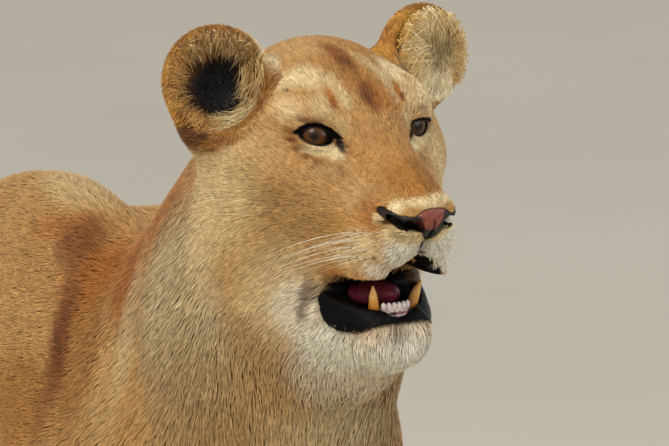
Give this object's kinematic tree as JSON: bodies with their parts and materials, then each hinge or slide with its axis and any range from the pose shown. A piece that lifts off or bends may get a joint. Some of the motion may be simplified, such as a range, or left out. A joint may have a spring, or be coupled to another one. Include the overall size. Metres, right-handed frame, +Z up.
{
  "type": "lioness",
  "caption": "Life-size lioness standing square, head up and facing forward, mouth a little open, tail hanging behind.",
  "frame": {"origin": "on the ground, below the middle of the animal's bounding box", "axes": "+X forward to the head, +Y to the animal's left, +Z up"},
  "size_m": [1.8882, 0.375, 1.1884],
  "materials": {
    "tawny_coat": "short tawny fur",
    "dark_coat": "dark tail tuft",
    "nose_leather": "bare moist leather",
    "eye": "wet amber eye",
    "tooth_enamel": "stained enamel",
    "tongue_flesh": "wet flesh"
  },
  "bodies": {
    "root": {"chest": "tawny_coat", "head": "tawny_coat", "hindquarters": "tawny_coat", "left_canine": "tooth_enamel", "left_ear": "tawny_coat", "left_eye": "eye", "left_fore_lower_leg": "tawny_coat", "left_fore_paw": "tawny_coat", "left_fore_upper_leg": "tawny_coat", "left_hind_lower_leg": "tawny_coat", "left_hind_paw": "tawny_coat", "left_hind_upper_leg": "tawny_coat", "loin": "tawny_coat", "lower_incisors": "tooth_enamel", "lower_jaw": "tawny_coat", "neck": "tawny_coat", "nose": "nose_leather", "right_canine": "tooth_enamel", "right_ear": "tawny_coat", "right_eye": "eye", "right_fore_lower_leg": "tawny_coat", "right_fore_paw": "tawny_coat", "right_fore_upper_leg": "tawny_coat", "right_hind_lower_leg": "tawny_coat", "right_hind_paw": "tawny_coat", "right_hind_upper_leg": "tawny_coat", "tail_base": "tawny_coat", "tail_middle": "tawny_coat", "tail_tuft": "dark_coat", "tongue": "tongue_flesh"}
  },
  "joints": []
}
